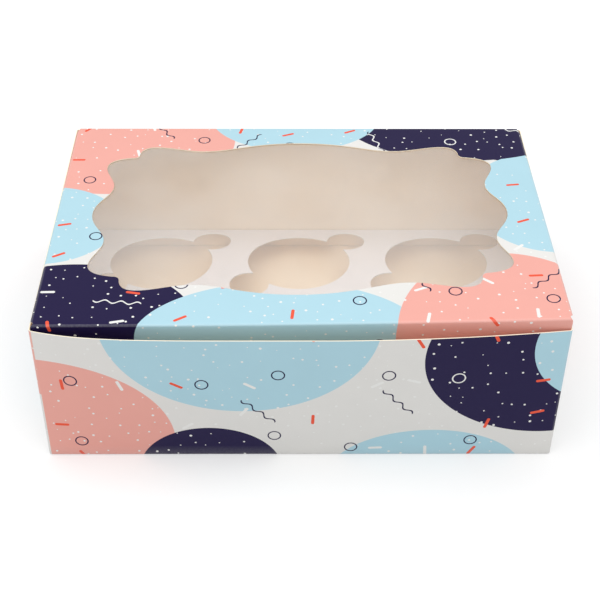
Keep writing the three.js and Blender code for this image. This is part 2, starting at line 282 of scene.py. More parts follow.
# Round fields of colour: where each lies, its two radii in mm, and its ink
FIELDS = [
    (on_front(-116, 12), 56, 50, PRINT_PINK),
    (on_front(-28, 88), 62, 56, PRINT_BLUE),
    (on_front(-44, -10), 34, 30, PRINT_NAVY),
    (on_front(112, 66), 58, 50, PRINT_NAVY),
    (on_front(60, -16), 48, 34, PRINT_BLUE),
    (on_right(-60, 70), 40, 36, PRINT_BLUE),
    (on_right(20, 0), 46, 40, PRINT_PINK),
    (on_right(84, 74), 44, 40, PRINT_NAVY),
    (on_back(70, -6), 52, 44, PRINT_NAVY),
    (on_back(-20, 50), 40, 36, PRINT_BLUE),
    (on_back(-106, 4), 44, 40, PRINT_PINK),
    (on_left(50, 66), 46, 40, PRINT_NAVY),
    (on_left(-10, 6), 42, 36, PRINT_BLUE),
    (on_left(-76, 70), 36, 30, PRINT_PINK),
    (on_lid(-96, 70), 62, 50, PRINT_PINK),
    (on_lid(-124, -6), 36, 32, PRINT_BLUE),
    (on_lid(-104, -84), 58, 46, PRINT_NAVY),
    (on_lid(-10, -92), 64, 40, PRINT_BLUE),
    (on_lid(92, -90), 50, 58, PRINT_PINK),
    (on_lid(122, 12), 38, 44, PRINT_BLUE),
    (on_lid(88, 96), 66, 46, PRINT_NAVY),
    (on_lid(-2, 96), 46, 36, PRINT_BLUE),
]
LARGEST_DOT = 0.7 * MM
CRACKED_AND_HIGHLIGHT_SHARE = 0.14
MOTTLE_SHARE = 0.05
FIBRE_HEIGHT = 0.02


def printed_board():
    """The printed side: round fields over off-white, then speckles, sprinkles, rings and short
    waves scattered by lattices, under a satin coat with the board's faint unevenness.
    """
    graph = Graph("printed_board")
    uv = graph.node("ShaderNodeUVMap", uv_map="print_plane").outputs[0]
    coordinates = graph.node("ShaderNodeTexCoord").outputs["Object"]
    colour = PRINT_OFF_WHITE
    dark = 0.0
    for (u, v), radius_u, radius_v, ink in FIELDS:
        offset = graph.vector("SUBTRACT", uv, (u, v, 0.0))
        scaled = graph.vector("MULTIPLY", offset, (1 / (radius_u * MM), 1 / (radius_v * MM), 0.0))
        inside = graph.maths("LESS_THAN", graph.vector("LENGTH", scaled), 1.0)
        colour = graph.mix(inside, colour, ink)
        if ink == PRINT_NAVY:
            dark = graph.maths("MAXIMUM", dark, inside)
        else:
            dark = graph.maths("SUBTRACT", dark, inside, clamp=True)
    ink = graph.mix(dark, PRINT_NAVY, PRINT_WHITE)

    speck, chance = lattice(graph, uv, size=6.5 * MM, seed=3, spread=0.7)
    radius = graph.maths("MULTIPLY", chance, LARGEST_DOT)
    dots = graph.maths("LESS_THAN", graph.vector("LENGTH", speck), radius)
    dots = graph.maths("MULTIPLY", dots, between(graph, chance, low=0.35, high=0.95))
    colour = graph.mix(dots, colour, PRINT_WHITE)

    rod, chance = lattice(graph, uv, size=27 * MM, seed=5)
    sprinkles = sprinkle(graph, rod, half_length=2.6 * MM, half_width=0.75 * MM)
    coral = graph.maths("MULTIPLY", sprinkles, between(graph, chance, low=0.0, high=0.42))
    pale = graph.maths("MULTIPLY", sprinkles, between(graph, chance, low=0.42, high=0.7))
    colour = graph.mix(coral, colour, PRINT_CORAL)
    colour = graph.mix(pale, colour, PRINT_WHITE)

    hoop, chance = lattice(graph, uv, size=43 * MM, seed=9)
    rings = ring(graph, hoop, radius=2.9 * MM, half_width=0.32 * MM)
    rings = graph.maths("MULTIPLY", rings, between(graph, chance, low=0.0, high=0.6))
    colour = graph.mix(rings, colour, ink)

    swell, chance = lattice(graph, uv, size=64 * MM, seed=13, spread=0.4)
    half_width = 0.4 * MM
    waves = wave(graph, swell, 11 * MM, height=1.0 * MM, length=7.4 * MM, half_width=half_width)
    waves = graph.maths("MULTIPLY", waves, between(graph, chance, low=0.0, high=0.62))
    colour = graph.mix(waves, colour, ink)

    # Paler print on the folds: flakes of cracked print, which also paint a highlight along the fold
    # arcs
    crease = graph.node("ShaderNodeAttribute", attribute_name="crease").outputs["Fac"]
    flakes = graph.noise(coordinates, scale=900.0, detail=3.0, roughness=0.7)
    cracks_and_highlight = graph.maths("MULTIPLY", crease, flakes)
    colour = graph.mix(graph.maths("MULTIPLY", cracks_and_highlight, CRACKED_AND_HIGHLIGHT_SHARE), colour, PRINT_WHITE)
    mottle = graph.noise(coordinates, scale=60.0, detail=4.0)
    colour = graph.mix(graph.maths("MULTIPLY", mottle, MOTTLE_SHARE), colour, PRINT_MOTTLE)
    graph.feed(graph.shader.inputs["Base Color"], colour)
    graph.shader.inputs["Roughness"].default_value = 0.46
    graph.shader.inputs["Specular IOR Level"].default_value = 0.14
    fibre = graph.noise(coordinates, scale=1400.0, detail=3.0)
    swelling = graph.noise(coordinates, scale=45.0, detail=1.0)
    height = graph.maths("ADD", graph.maths("MULTIPLY", fibre, FIBRE_HEIGHT), swelling)
    graph.bump(height, strength=0.35, distance=0.4 * MM)
    return graph.material


def plain_board():
    """The unprinted side: cream board with a soft fibre mottle and no gloss."""
    graph = Graph("plain_board")
    coordinates = graph.node("ShaderNodeTexCoord").outputs["Object"]
    cloudy = graph.noise(coordinates, scale=90.0, detail=5.0, roughness=0.6)
    fibre = graph.noise(coordinates, scale=1100.0, detail=4.0, roughness=0.7)
    colour = graph.mix(cloudy, PLAIN_CLOUD, PLAIN_BOARD)
    colour = graph.mix(graph.maths("MULTIPLY", fibre, PLAIN_FIBRE_SHARE), colour, PLAIN_FIBRE)
    graph.feed(graph.shader.inputs["Base Color"], colour)
    graph.shader.inputs["Roughness"].default_value = 0.85
    graph.shader.inputs["Specular IOR Level"].default_value = 0.2
    graph.bump(fibre, strength=0.3, distance=0.05 * MM)
    return graph.material


def raw_edge():
    """The cut edge: pale layered fibre."""
    graph = Graph("raw_edge")
    coordinates = graph.node("ShaderNodeTexCoord").outputs["Object"]
    fibre = graph.noise(coordinates, scale=2500.0, detail=3.0, roughness=0.7)
    graph.feed(graph.shader.inputs["Base Color"], graph.mix(fibre, RAW_EDGE, RAW_FIBRE))
    graph.shader.inputs["Roughness"].default_value = 0.9
    graph.bump(fibre, strength=0.4, distance=0.05 * MM)
    return graph.material


BOARD_FINISHES = [printed_board(), plain_board(), raw_edge()]


def bulge_share(x):
    """Share of the full bulge: one less the distance from the peak, as a share of the way to the
    corner, raised to a power that is higher on the left.
    """
    side = x / HALF_LENGTH - BULGE_PEAK
    reach = np.abs(side) / np.where(side < 0, 1 + BULGE_PEAK, 1 - BULGE_PEAK)
    return 1 - np.clip(reach, 0, 1) ** np.where(side < 0, *BULGE_EXPONENTS)


def wall_ring(inset):
    """The walls' outline from the front left corner, counter-clockwise from above: straight sides
    joined by quarter circles, all moved inwards. Gives the points and their outward directions.
    """
    end_x = HALF_LENGTH - TRAY_CORNER
    end_y = HALF_WIDTH - TRAY_CORNER
    radius = TRAY_CORNER - inset
    sides = [
        ((-end_x, -end_y), (end_x, -end_y), -90, FRONT_STATIONS),
        ((end_x, -end_y), (end_x, end_y), 0, SIDE_STATIONS),
        ((end_x, end_y), (-end_x, end_y), 90, FRONT_STATIONS),
        ((-end_x, end_y), (-end_x, -end_y), 180, SIDE_STATIONS),
    ]
    points = []
    directions = []
    for start, end, facing, stations in sides:
        share = np.linspace(0, 1, stations)[:, None]
        out = np.array([math.cos(math.radians(facing)), math.sin(math.radians(facing))])
        points.append(np.array(start) * (1 - share) + np.array(end) * share + out * radius)
        directions.append(np.repeat(out[None], stations, 0))
        turn = np.radians(facing + np.linspace(0, 90, CORNER_STATIONS + 2)[1:-1])
        out = np.column_stack([np.cos(turn), np.sin(turn)])
        points.append(np.array(end) + out * radius)
        directions.append(out)
    return np.concatenate(points), np.concatenate(directions)


def tray_face(inset):
    """One face of the tray as a grid: rows run from the base through the fold arc up the wall, and
    each row is the walls' outline, moved out by the bulge times its share of the height.
    """
    outline, out = wall_ring(inset)
    radius = TRAY_FOLD - inset
    turn = np.linspace(0, math.pi / 2, FOLD_ROWS)
    climb = np.linspace(TRAY_FOLD, WALL_HEIGHT, WALL_ROWS)[1:]
    inwards = np.concatenate([radius * (1 - np.sin(turn)), np.zeros(len(climb))])
    heights = np.concatenate([inset + radius * (1 - np.cos(turn)), climb])
    points = outline[None] - out[None] * inwards[:, None, None]
    front = np.maximum(-out[:, 1], 0)
    spring = BULGE * bulge_share(outline[:, 0]) * front
    y = points[..., 1] - spring[None] * (heights / WALL_HEIGHT)[:, None]
    z = np.repeat(heights[:, None], len(outline), 1)
    return np.stack([points[..., 0], y, z], -1)


tray_outer = tray_face(0)
tray_inner = tray_face(BOARD)
rows, stations = tray_outer.shape[:2]
footprint, facing = wall_ring(0)
around = np.linalg.norm(np.diff(footprint, axis=0, prepend=footprint[:1]), axis=1).cumsum()
fold_line = np.repeat((tray_outer[:, 0, 2] < TRAY_FOLD)[:, None], stations, 1)
corner_line = (np.abs(facing).min(1) > CORNER_FACING)[None].repeat(rows, 0)
tray_crease = np.append((fold_line | corner_line).astype(float).ravel(), 0.0)

# The walls are a grid, a seam of quads joins its last column to its first, and the base is a fan
last = np.arange(rows - 1) * stations + stations - 1
seam = np.column_stack([last, last - stations + 1, last + 1, last + stations])
middle = np.full(stations, rows * stations)
foot = np.arange(stations)
base_fan = np.column_stack([middle, np.roll(foot, -1), foot])
tray_faces = [grid_faces(rows, stations), seam, base_fan]
outer_points = np.concatenate([tray_outer.reshape(-1, 3), [[0, 0, 0]]])
inner_points = np.concatenate([tray_inner.reshape(-1, 3), [[0, 0, BOARD]]])

# On the sheet plane the walls run round the foot, the seam ends the round, and the base hangs
# below the front wall
wall_uv = np.column_stack([np.tile(around, rows), tray_outer[..., 2].ravel()])
tray_uv = np.concatenate([wall_uv, [[HALF_LENGTH, -HALF_WIDTH]]])
corner_step = TRAY_CORNER * math.pi / 2 / (CORNER_STATIONS + 1)
seam_uv = tray_uv.copy()
seam_uv[np.arange(rows) * stations, 0] = around[-1] + corner_step
base_uv = np.column_stack([HALF_LENGTH + outer_points[:, 0], -HALF_WIDTH - outer_points[:, 1]])
tray_uvs = [tray_uv, seam_uv, base_uv]
printed_tray = board_mesh(
    "printed_tray", outer_points, inner_points, tray_faces, tray_uvs, tray_crease, BOARD_FINISHES
)
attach(printed_tray, "tray")
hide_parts("tray")

# Glue tabs: the ends of the front and back walls, folded in at the corners and glued flat inside
# the side walls. Each is cut off aslant at the top, clear of the lid's dust flaps.
TAB_WIDTH = 20 * MM
TAB_TOP = WALL_HEIGHT - 5 * MM
TAB_COLUMNS = 7
TAB_ROWS = 9
GLUE_LINE = 0.02 * MM
TAB_PRINT_PLACE = (0.2, 0.5)


def glue_tab(name, side_x, side_y):
    """A flat tab: its top drops by as much as it runs along the wall, and its rows are shares of
    the height there.
    """
    run = np.linspace(0, TAB_WIDTH, TAB_COLUMNS)[None].repeat(TAB_ROWS, 0)
    share = np.linspace(0, 1, TAB_ROWS)[:, None].repeat(TAB_COLUMNS, 1)
    z = TRAY_FOLD + share * (TAB_TOP - run - TRAY_FOLD)
    y = side_y * (HALF_WIDTH - BOARD - GLUE_LINE - run)
    face = HALF_LENGTH - BOARD - GLUE_LINE
    against = np.stack([np.full_like(y, side_x * face), y, z], -1).reshape(-1, 3)
    shown = np.stack([np.full_like(y, side_x * (face - BOARD)), y, z], -1).reshape(-1, 3)
    quads = grid_faces(TAB_ROWS, TAB_COLUMNS, turned=side_x * side_y > 0)
    uv = against[:, 1:] + np.array(TAB_PRINT_PLACE)
    uncreased = np.zeros(len(against))
    tab = board_mesh(name, against, shown, [quads], [uv], uncreased, BOARD_FINISHES)
    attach(tab, "tray")


for side_x, side in ((-1, "left"), (1, "right")):
    for side_y, end in ((-1, "front"), (1, "back")):
        glue_tab(f"glue_tab_{end}_{side}", side_x, side_y)

# Insert: a loose white card, bowed up between two low legs, with six round holes that each have a
# finger lobe at two opposite corners. The flat of it is meshed round the holes and then bowed.
CARD = 0.45 * MM
CROWN = 10.3 * MM
CARD_FOLD_RADIUS = 1.2 * MM
HOLE_RADIUS = 27.75 * MM
HOLE_PLACES_X = (-74.95 * MM, 0.0, 74.95 * MM)
HOLE_PLACES_Y = (-43.05 * MM, 43.05 * MM)
LOBE_RADIUS = 10.5 * MM
LOBE_OFFSET = (26.5 * MM, 23.0 * MM)
WHITE_CARD = (0.85, 0.80, 0.795)
CARD_MOTTLE = (0.83, 0.775, 0.775)
CARD_FIBRE = (0.70, 0.62, 0.58)
CARD_FIBRE_SHARE = 0.12
CARD_EDGE = (0.90, 0.87, 0.85)
HOLE_STEPS = 44
LOBE_STEPS = 30
CARD_COLUMNS = 49
CARD_ROWS = 41
LEG_ROWS = 5
FOLD_STEPS = 7
WELD_GRID = 1e7
RIM_CLEAR = 1.2 * MM
SAME_POINT = 1e-7


def bend(distance, radius, angle):
    """A sheet followed for a distance past the start of a fold: how far it has run on and dropped,
    and its turn. The turn is the distance over the radius, up to the fold's angle, and after the
    arc the sheet goes on straight.
    """
    turn = np.clip(distance / radius, 0, angle)
    straight = np.maximum(distance - radius * angle, 0)
    run = np.minimum(distance, 0) + radius * np.sin(turn) + straight * np.cos(angle)
    drop = radius * (1 - np.cos(turn)) + straight * np.sin(angle)
    return run, drop, turn


def flap_distances(radius, turn, depth, rows):
    """Distances down a flap: even steps round its fold, then even steps to its tip."""
    arc = radius * turn
    return np.concatenate([np.linspace(0, arc, FOLD_STEPS), np.linspace(arc, depth, rows)[1:]])


class SheetParts:
    """The patches of one folded sheet, kept until they are welded into one mesh."""

    def __init__(self, thickness):
        self.thickness = thickness
        self.outer = []
        self.inner = []
        self.uv = []
        self.crease = []
        self.faces = []

    def add_faces(self, outer, inward, uv, crease, faces):
        """One patch. The inner face lies a sheet's thickness along the inward directions."""
        self.faces.append(faces + sum(len(o) for o in self.outer))
        self.outer.append(outer)
        self.inner.append(outer + self.thickness * inward)
        self.uv.append(uv)
        self.crease.append(crease)

    def add(self, outer, inward, uv, crease, turned):
        """One patch whose points lie in rows and columns."""
        faces = grid_faces(*outer.shape[:2], turned=turned)
        marks = np.broadcast_to(crease, outer.shape[:2]).ravel()
        self.add_faces(outer.reshape(-1, 3), inward.reshape(-1, 3), uv.reshape(-1, 2), marks, faces)

    def weld(self, name, materials):
        """Points of touching patches that share a place become one, which joins the patches. Two
        places are the same where they round to the same cell of a fine grid.
        """
        outer = np.concatenate(self.outer)
        cells = np.round(outer * WELD_GRID).astype(np.int64)
        _, first, same = np.unique(cells, axis=0, return_index=True, return_inverse=True)
        faces = [same.ravel()[f] for f in self.faces]
        inner, uv, crease = (np.concatenate(a)[first] for a in (self.inner, self.uv, self.crease))
        return board_mesh(name, outer[first], inner, faces, [uv] * len(faces), crease, materials)


def white_card():
    """Uncoated white card with a faint warm mottle and fibre."""
    graph = Graph("white_card")
    coordinates = graph.node("ShaderNodeTexCoord").outputs["Object"]
    cloudy = graph.noise(coordinates, scale=120.0, detail=4.0, roughness=0.6)
    fibre = graph.noise(coordinates, scale=1500.0, detail=3.0, roughness=0.7)
    colour = graph.mix(cloudy, WHITE_CARD, CARD_MOTTLE)
    colour = graph.mix(graph.maths("MULTIPLY", fibre, CARD_FIBRE_SHARE), colour, CARD_FIBRE)
    graph.feed(graph.shader.inputs["Base Color"], colour)
    graph.shader.inputs["Roughness"].default_value = 0.75
    graph.shader.inputs["Specular IOR Level"].default_value = 0.25
    graph.bump(fibre, strength=0.3, distance=0.05 * MM)
    return graph.material


def card_edge():
    """The card's cut edge, a little paler than its faces."""
    graph = Graph("card_edge")
    graph.shader.inputs["Base Color"].default_value = (*CARD_EDGE, 1)
    graph.shader.inputs["Roughness"].default_value = 0.9
    return graph.material


def arc_points(centre, radius, start, end, count):
    """Points along an arc, without its last one: the centre plus the radius times the cosine and
    sine of evenly stepped angles.
    """
    angle = np.linspace(start, end, count + 1)[:-1]
    return np.array(centre) + radius * np.column_stack([np.cos(angle), np.sin(angle)])


def corner_angle(beside, other, opposite):
    """Angle of a triangle between two of its sides. Its cosine is the sum of their squares, less
    the square of the side opposite, over twice their product.
    """
    return math.acos((beside**2 + other**2 - opposite**2) / (2 * beside * other))


def hole_outline(x, y):
    """A circle joined to two lobes. Each lobe's circle crosses the hole's where the angles of the
    triangle of their centres and the crossing put it.
    """
    reach = math.hypot(*LOBE_OFFSET)
    aim = math.atan2(LOBE_OFFSET[1], LOBE_OFFSET[0])
    at_hole = corner_angle(HOLE_RADIUS, reach, LOBE_RADIUS)
    at_lobe = math.pi - corner_angle(LOBE_RADIUS, reach, HOLE_RADIUS)
    arcs = []
    for turn in (aim, aim + math.pi):
        lobe = (x + reach * math.cos(turn), y + reach * math.sin(turn))
        onward = turn + math.pi - at_hole
        arcs.append(arc_points(lobe, LOBE_RADIUS, turn - at_lobe, turn + at_lobe, LOBE_STEPS))
        arcs.append(arc_points((x, y), HOLE_RADIUS, turn + at_hole, onward, HOLE_STEPS))
    return np.concatenate(arcs)


def in_a_hole(points):
    """Whether each point lies in the circle or a lobe of any hole, nearer its middle than its
    radius.
    """
    inside = np.zeros(len(points), bool)
    for x in HOLE_PLACES_X:
        for y in HOLE_PLACES_Y:
            inside |= np.hypot(points[:, 0] - x, points[:, 1] - y) < HOLE_RADIUS
            for way in (-1, 1):
                across = points[:, 0] - x - way * LOBE_OFFSET[0]
                along = points[:, 1] - y - way * LOBE_OFFSET[1]
                inside |= np.hypot(across, along) < LOBE_RADIUS
    return inside


insert_low, insert_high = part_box("insert")
FLAT_END = insert_high.y - CARD_FOLD_RADIUS
SHOULDER = insert_high.z - CROWN

# The blank: grid points clear of the holes and points round each hole's rim, joined by triangles
# that keep the rims as edges. Those inside a hole are left out, and the rest turned face up.
card_x = np.linspace(insert_low.x, insert_high.x, CARD_COLUMNS)
card_y = np.linspace(-FLAT_END, FLAT_END, CARD_ROWS)
grid = np.stack(np.meshgrid(card_x, card_y), -1).reshape(-1, 2)
outlines = [hole_outline(x, y) for x in HOLE_PLACES_X for y in HOLE_PLACES_Y]
near = np.min([np.linalg.norm(grid[:, None] - o[None], axis=2).min(1) for o in outlines], 0)
blank = [grid[(near > RIM_CLEAR) & ~in_a_hole(grid)]]
rims = []
for outline in outlines:
    rim = np.arange(len(outline)) + sum(len(b) for b in blank)
    rims.append(np.column_stack([rim, np.roll(rim, -1)]))
    blank.append(outline)
spots = np.concatenate(blank).tolist()
joined = delaunay_2d_cdt(spots, np.concatenate(rims).tolist(), [], 0, SAME_POINT)
kept = np.array(joined[0])
triangles = np.array(joined[2])
triangles = triangles[~in_a_hole(kept[triangles].mean(1))]
used, triangles = np.unique(triangles, return_inverse=True)
card_plan = kept[used]
triangles = triangles.reshape(-1, 3)
corner = card_plan[triangles[:, 0]]
along, across = (card_plan[triangles[:, i]] - corner for i in (1, 2))
clockwise = along[:, 0] * across[:, 1] < along[:, 1] * across[:, 0]
triangles[clockwise] = triangles[clockwise][:, ::-1]

# The bow is a parabola from leg to leg, and the card's thickness lies square to its slope
slope = np.arctan(-2 * CROWN * card_plan[:, 1] / FLAT_END**2)
bow = SHOULDER + CROWN * (1 - (card_plan[:, 1] / FLAT_END) ** 2)
bowed = np.column_stack([card_plan, bow])
under = np.column_stack([0 * slope, np.sin(slope), -np.cos(slope)])
card_sheet = SheetParts(CARD)
card_sheet.add_faces(bowed, under, card_plan, np.zeros(len(card_plan)), triangles)
leg_length = CARD_FOLD_RADIUS * math.pi / 2 + SHOULDER - CARD_FOLD_RADIUS - insert_low.z
for side in (-1, 1):
    down_leg = flap_distances(CARD_FOLD_RADIUS, math.pi / 2, leg_length, LEG_ROWS)[:, None]
    fold = bend(down_leg, CARD_FOLD_RADIUS, math.pi / 2)
    run, drop, turn = (np.broadcast_to(v, (len(down_leg), CARD_COLUMNS)) for v in fold)
    leg_x = np.broadcast_to(card_x, run.shape)
    leg = np.stack([leg_x, side * (FLAT_END + run), SHOULDER - drop], -1)
    inward = np.stack([0 * run, -side * np.sin(turn), -np.cos(turn)], -1)
    uv = np.stack([leg_x, side * (FLAT_END + down_leg) + 0 * leg_x], -1)
    card_sheet.add(leg, inward, uv, 0.0, turned=side < 0)
card_insert = card_sheet.weld("card_insert", [white_card(), BOARD_FINISHES[1], card_edge()])
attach(card_insert, "tray")
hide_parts("insert")

# Lid: the rest of the printed sheet, creased along the top of the back wall. It is a panel with a
# wavy die-cut window, a tuck flap folded down behind the front wall and a dust flap at each side,
# and it stands a little open, highest at the front right corner.
FIT = 0.3 * MM
FRONT_FOLD_RADIUS = 1.0 * MM
SIDE_FOLD_RADIUS = 1.5 * MM
LIFT_LEFT = 1.6 * MM
LIFT_RIGHT = 5.5 * MM
TUCK_DEPTH = 24 * MM
TUCK_TURN = math.radians(96)
TUCK_CORNER = 11 * MM
DUST_DEPTH = 26 * MM
DUST_TURN = math.radians(92)
DUST_LEAN_MORE = math.radians(8)
DUST_END_GAP = 0.8 * MM
SPREAD_LEFT = 0.1 * MM
SPREAD_RIGHT = 0.5 * MM
TUCK_WIDENS = 1.1 * MM
BACK_FOLD_RADIUS = 0.3 * MM
BACK_FOLD_TURN = math.radians(42)
SIDE_FIT = 0.08 * MM
SIDE_MARGIN = 18.3 * MM
FRONT_MARGIN = 21.3 * MM
BACK_MARGIN = 15.3 * MM
TROUGH_DEPTH = 8 * MM
LOBE_DROP = 4 * MM
LOBE_INSET = 27 * MM
NOTCH_INSET = 18.5 * MM
NOTCH_DROP = 14.4 * MM
EAR_INSET = 2.7 * MM
EAR_DROP = 23.2 * MM
LID_TOP = WALL_HEIGHT + FIT + BOARD
FOLD_X = HALF_LENGTH - BOARD - SIDE_FIT - SIDE_FOLD_RADIUS
FOLD_Y = HALF_WIDTH - BOARD - FIT - FRONT_FOLD_RADIUS
LID_BACK = HALF_WIDTH - BOARD
OUTLINE_STEPS = 26
PANEL_ROWS = 9
TUCK_ROWS = 16
DUST_ROWS = 12
BACK_FOLD_ROWS = 6
BACK_FOLD_INNER_SHARE = 0.7
CREASE_ENDS = 0.2
SAME_LINE = 1e-9
SAME_ANGLE = 1e-6


def forward(y):
    """Share of the way from the hinge to the front fold."""
    return (LID_BACK - y) / (LID_BACK + FOLD_Y)


def lift(x, y):
    """Height of the warped lid over its flat place: a share that grows evenly from the hinge to the
    front, times a lift that grows with the square of the way across to the right.
    """
    across = (x + HALF_LENGTH) / (2 * HALF_LENGTH)
    return forward(y) * (LIFT_LEFT + (LIFT_RIGHT - LIFT_LEFT) * across**2)


def spread(x, y):
    """Widening of the panel where it stands off the walls: in proportion to x, and to the way from
    the hinge to the front.
    """
    return x + np.abs(x) / FOLD_X * forward(y) * np.where(x < 0, -SPREAD_LEFT, SPREAD_RIGHT)


def bezier(start, first, second, end):
    """Points of one cubic curve, without its last point: the four given points, each times its
    share, which are the terms of (1 - t) plus t cubed.
    """
    t = np.linspace(0, 1, OUTLINE_STEPS)[:-1, None]
    shares = ((1 - t) ** 3, 3 * (1 - t) ** 2 * t, 3 * (1 - t) * t**2, t**3)
    return sum(share * np.array(p) for share, p in zip(shares, (start, first, second, end)))


def window_outline():
    """The wavy outline: seven curves from the middle of a long side to the middle of a short side,
    mirrored to the other quarters, counter-clockwise from the right. Each curve's handles reach
    the shares of its own length and width that are given with it.
    """
    long = HALF_LENGTH - SIDE_MARGIN
    wide = HALF_WIDTH - (FRONT_MARGIN + BACK_MARGIN) / 2
    trough = (0.49 * long, wide - TROUGH_DEPTH)
    lobe = (long - LOBE_INSET, wide - LOBE_DROP)
    notch = (long - NOTCH_INSET, wide - NOTCH_DROP)
    ear = (long - EAR_INSET, wide - EAR_DROP)
    side = (long - TROUGH_DEPTH, 0.36 * wide)
    fillet = 0.24 * (ear[0] - notch[0])

    def part(a, b, share_x, share_y):
        """The point that lies these shares of the way from one point to another."""
        return (a[0] + (b[0] - a[0]) * share_x, a[1] + (b[1] - a[1]) * share_y)

    above_notch = (notch[0], notch[1] + fillet)
    beside_notch = (notch[0] + fillet, notch[1])
    into_notch = (notch[0], notch[1] + 0.3 * fillet)
    out_of_notch = (notch[0] + 0.3 * fillet, notch[1])
    curves = [
        bezier((0, wide), (0.52 * trough[0], wide), (0.72 * trough[0], trough[1]), trough),
        bezier(trough, part(trough, lobe, 0.33, 0), part(trough, lobe, 0.7, 1), lobe),
        bezier(lobe, part(lobe, notch, 0.65, 0), part(lobe, notch, 0.93, 0.25), above_notch),
        bezier(above_notch, into_notch, out_of_notch, beside_notch),
        bezier(beside_notch, part(notch, ear, 0.7, 0.1), part(notch, ear, 1, 0.42), ear),
        bezier(ear, part(ear, side, 0, 0.36), part(ear, side, 1, 0.64), side),
        bezier(side, (side[0], 0.64 * side[1]), (long, 0.47 * side[1]), (long, 0)),
        [(long, 0)],
    ]
    quarter = np.concatenate(curves)[::-1]
    upper = np.concatenate([quarter, quarter[-2::-1] * (-1, 1)])
    return np.concatenate([upper, upper[-2:0:-1] * (1, -1)]) + (0, (FRONT_MARGIN - BACK_MARGIN) / 2)


def panel_ring():
    """The window's outline and, for each of its points, the point on the panel's edge in the same
    direction from the middle: the direction times the shorter of the ways to a side and to an end.
    The panel's corners and the flaps' ends are added to both.
    """
    window = window_outline()
    angle = np.arctan2(window[:, 1], window[:, 0]) % math.tau
    order = np.argsort(angle)
    angle = angle[order]
    window = window[order]
    dust = (-FOLD_Y + DUST_END_GAP, LID_BACK - DUST_END_GAP)
    extra = [(x, y) for x in (-FOLD_X, FOLD_X) for y in (-FOLD_Y, LID_BACK, *dust)]
    extra_angle = np.arctan2([p[1] for p in extra], [p[0] for p in extra]) % math.tau
    wrapped = np.concatenate([angle - math.tau, angle, angle + math.tau])
    thrice = np.tile(window, (3, 1))
    added = np.column_stack([np.interp(extra_angle, wrapped, thrice[:, i]) for i in (0, 1)])
    direction = np.column_stack([np.cos(angle), np.sin(angle)])
    reach_x = FOLD_X / np.maximum(np.abs(direction[:, 0]), SAME_LINE)
    room_y = np.where(direction[:, 1] > 0, LID_BACK, FOLD_Y)
    reach_y = room_y / np.maximum(np.abs(direction[:, 1]), SAME_LINE)
    edge = direction * np.minimum(reach_x, reach_y)[:, None]
    all_angles = np.concatenate([angle, extra_angle])
    order = np.argsort(all_angles, kind="stable")
    keep = order[np.append(np.diff(all_angles[order]) > SAME_ANGLE, True)]
    return np.concatenate([window, added])[keep], np.concatenate([edge, np.array(extra)])[keep]


def lid_uv(points, beyond):
    """Place on the sheet plane of points on the panel, and the distances beyond its folds."""
    u, v = on_lid(0, 0)
    return np.column_stack([u - points[:, 0] - beyond[:, 0], v - points[:, 1] - beyond[:, 1]])


def panel_points(x, y):
    """Points of the warped and widened panel."""
    return np.stack([spread(x, y), y, LID_TOP + lift(x, y)], -1)


# The panel is a band of rows from the window's outline out to the panel's edge
lid_sheet = SheetParts(BOARD)
window, edge = panel_ring()
share = np.linspace(0, 1, PANEL_ROWS)[:, None, None]
plan = window[None] * (1 - share) + edge[None] * share
plan = np.concatenate([plan, plan[:, :1]], 1)
panel = panel_points(plan[..., 0], plan[..., 1])
down = np.array([0.0, 0.0, -1.0])
flat_plan = plan.reshape(-1, 2)
lid_sheet.add(panel, down, lid_uv(flat_plan, 0 * flat_plan), 0.0, turned=True)

# The tuck flap's stations are the panel's own front edge points, so that the two weld
front_x = np.sort(edge[np.abs(edge[:, 1] + FOLD_Y) < SAME_LINE, 0])
down_flap = flap_distances(FRONT_FOLD_RADIUS, TUCK_TURN, TUCK_DEPTH, TUCK_ROWS)[:, None]
past_corner = np.maximum(down_flap - (TUCK_DEPTH - TUCK_CORNER), 0)
narrowing = TUCK_CORNER - np.sqrt(np.maximum(TUCK_CORNER**2 - past_corner**2, 0))
widening = TUCK_WIDENS * np.clip(down_flap / (2 * FRONT_FOLD_RADIUS), 0, 1)
x = front_x[None] * (1 + (widening - narrowing) / FOLD_X)
run, drop, turn = bend(down_flap, FRONT_FOLD_RADIUS, TUCK_TURN)
z = LID_TOP + lift(front_x[None], -FOLD_Y) - drop
tuck_flap = np.stack([spread(x, -FOLD_Y), -FOLD_Y - run + 0 * x, z], -1)
inward = np.stack([0 * x, np.sin(turn) + 0 * x, -np.cos(turn) + 0 * x], -1)
on_fold = np.column_stack([x.ravel(), np.full(x.size, -FOLD_Y)])
beyond = np.column_stack([np.zeros(x.size), np.broadcast_to(-down_flap, x.shape).ravel()])
crease = (turn > CREASE_ENDS) & (turn < TUCK_TURN - CREASE_ENDS)
lid_sheet.add(tuck_flap, inward, lid_uv(on_fold, beyond), crease, turned=True)

